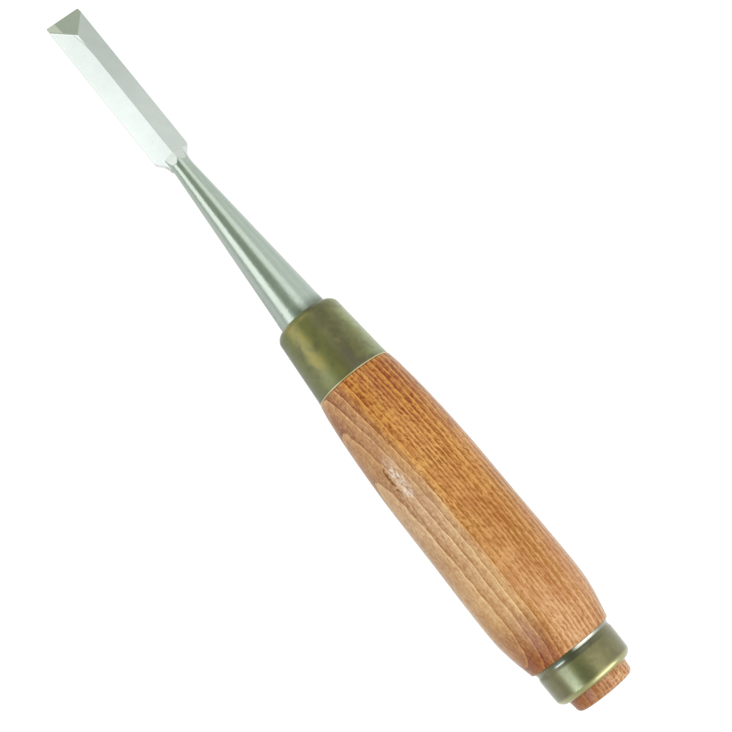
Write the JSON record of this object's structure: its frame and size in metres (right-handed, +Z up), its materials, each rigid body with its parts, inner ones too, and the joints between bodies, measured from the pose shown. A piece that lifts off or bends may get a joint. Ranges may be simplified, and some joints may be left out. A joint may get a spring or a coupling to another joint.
{
  "type": "bench chisel",
  "caption": "Wood chisel with a triangular-section steel blade on a round tapering neck, a turned stained-wood handle, a brass front ferrule and a brass striking hoop at the butt.",
  "frame": {"origin": "bottom centre of the bounding box of the tool lying at rest on the grip of the handle and on the cutting edge", "axes": "+X from the butt towards the cutting edge, along the level surface; +Z up, the side of the blade's ridge; the tool's own axis dips nose-down by about four degrees"},
  "size_m": [0.2616, 0.0324, 0.0357],
  "materials": {
    "steel": "polished to a satin sheen",
    "brass": "satin, darkened",
    "stained_beech": "stained and clear-lacquered"
  },
  "bodies": {
    "root": {"blade": "steel", "front_ferrule": "brass", "handle": "stained_beech", "rear_hoop": "brass"}
  },
  "joints": []
}
